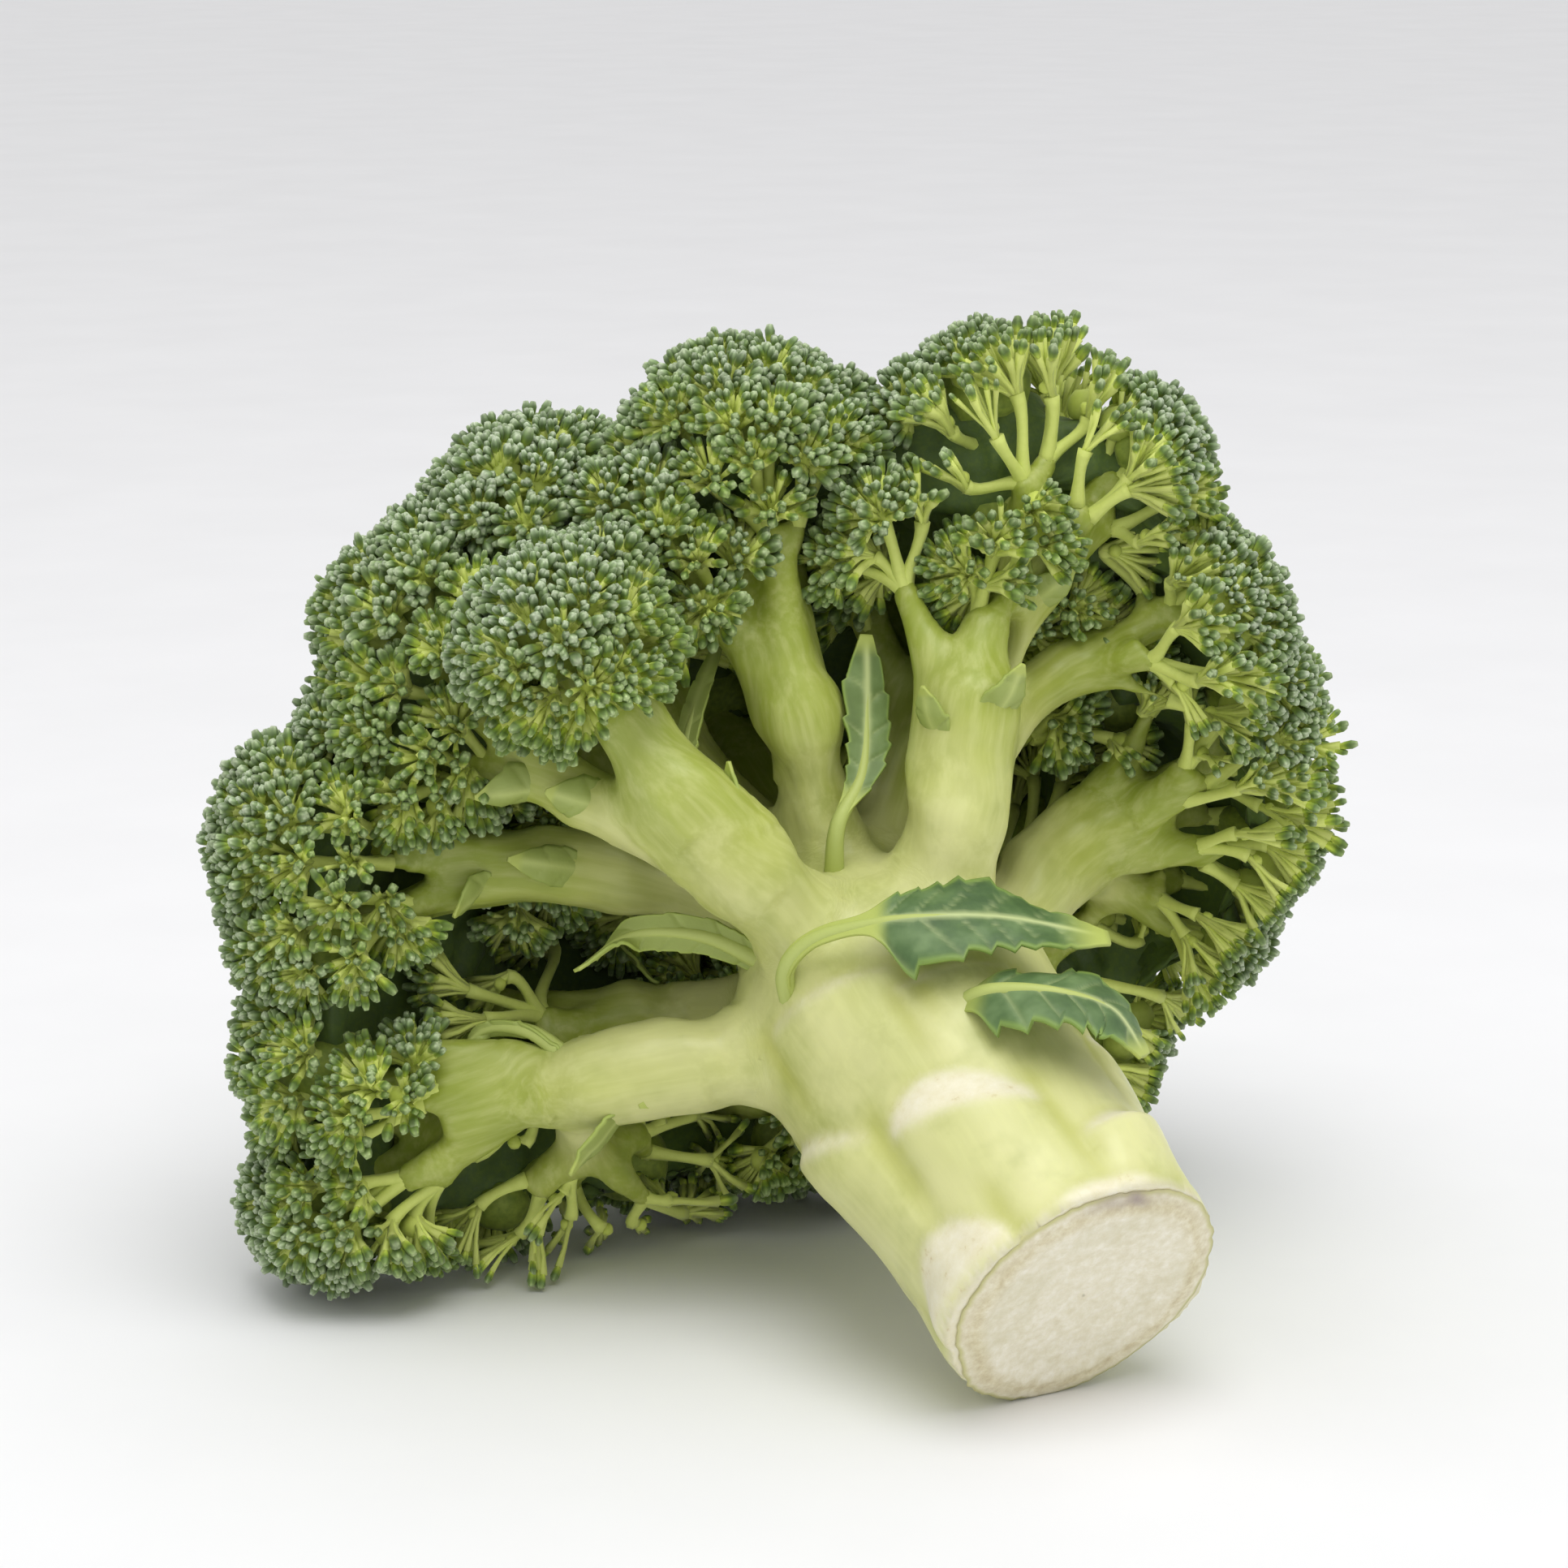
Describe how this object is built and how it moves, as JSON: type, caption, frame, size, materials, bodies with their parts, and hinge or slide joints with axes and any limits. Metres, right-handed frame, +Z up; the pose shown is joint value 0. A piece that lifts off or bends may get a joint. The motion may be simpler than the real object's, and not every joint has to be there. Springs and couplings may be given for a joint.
{
  "type": "broccoli head",
  "caption": "Whole cut broccoli head lying on its side: thick pale stalk with a cut end, forking stems, dense domed crown of green flower buds and small jagged leaves.",
  "frame": {"origin": "middle of the footprint's bounding box, on the surface that the head lies on", "axes": "+Z up as it lies; the stalk's cut end points towards -Y and slightly down, the crown's dome towards +Y; +X is the crown's width"},
  "size_m": [0.1818, 0.171, 0.1542],
  "materials": {
    "stalk_skin": "satin",
    "stem_skin": "satin",
    "flower_buds": "matte",
    "leaf_blade": "satin"
  },
  "bodies": {
    "root": {"buds_back_left_1": "flower_buds", "buds_back_left_2": "flower_buds", "buds_back_left_3": "flower_buds", "buds_back_right_1": "flower_buds", "buds_back_right_2": "flower_buds", "buds_back_right_3": "flower_buds", "buds_bottom_left_1": "flower_buds", "buds_bottom_left_2": "flower_buds", "buds_centre_1": "flower_buds", "buds_centre_2": "flower_buds", "buds_centre_3": "flower_buds", "buds_centre_4": "flower_buds", "buds_inner_left_1": "flower_buds", "buds_left_1": "flower_buds", "buds_left_2": "flower_buds", "buds_lower_left_1": "flower_buds", "buds_lower_left_2": "flower_buds", "buds_near_left_1": "flower_buds", "buds_near_left_2": "flower_buds", "buds_right_1": "flower_buds", "buds_right_2": "flower_buds", "buds_right_lower_1": "flower_buds", "buds_right_middle_1": "flower_buds", "buds_right_upper_1": "flower_buds", "buds_right_upper_2": "flower_buds", "buds_top_1": "flower_buds", "buds_top_2": "flower_buds", "buds_top_right_1": "flower_buds", "buds_top_right_2": "flower_buds", "buds_under_1": "flower_buds", "buds_under_2": "flower_buds", "buds_under_3": "flower_buds", "buds_under_right_1": "flower_buds", "buds_under_right_2": "flower_buds", "buds_under_right_3": "flower_buds", "buds_upper_left_1": "flower_buds", "leaf_curled": "leaf_blade", "leaf_long": "leaf_blade", "leaf_narrow": "leaf_blade", "leaf_short": "leaf_blade", "leaf_thin": "leaf_blade", "leaf_upright": "leaf_blade", "stalk": "stalk_skin", "stem_back_left": "stem_skin", "stem_back_right": "stem_skin", "stem_bottom_left": "stem_skin", "stem_centre": "stem_skin", "stem_inner_left": "stem_skin", "stem_left": "stem_skin", "stem_lower_left": "stem_skin", "stem_near_left": "stem_skin", "stem_right": "stem_skin", "stem_right_lower": "stem_skin", "stem_right_middle": "stem_skin", "stem_right_upper": "stem_skin", "stem_top": "stem_skin", "stem_top_right": "stem_skin", "stem_under": "stem_skin", "stem_under_right": "stem_skin", "stem_upper_left": "stem_skin"}
  },
  "joints": []
}
